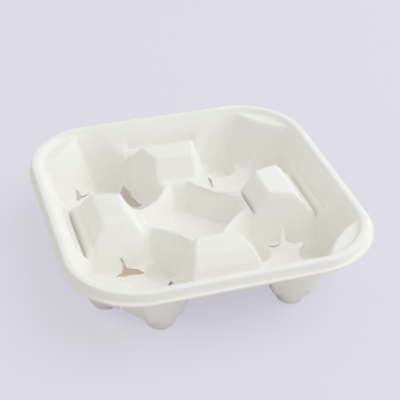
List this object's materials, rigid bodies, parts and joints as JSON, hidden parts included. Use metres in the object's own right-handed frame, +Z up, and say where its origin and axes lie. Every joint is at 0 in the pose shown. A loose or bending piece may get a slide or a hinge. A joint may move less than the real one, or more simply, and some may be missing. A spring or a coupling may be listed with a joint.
{
  "type": "moulded cup carrier",
  "caption": "Square moulded-fibre carrier tray for drinks cups, with a rounded flanged rim, pinched cup pockets on small feet, side posts and a middle well.",
  "frame": {"origin": "middle of the tray in plan, on the plane the feet stand on", "axes": "+Z up out of the pockets, +X and +Y square to the sides of the tray"},
  "size_m": [0.215, 0.215, 0.049],
  "materials": {
    "moulded_fibre": "matt pressed plant fibre with a faint screen texture"
  },
  "bodies": {
    "root": {"cup_carrier_tray": "moulded_fibre"}
  },
  "joints": []
}
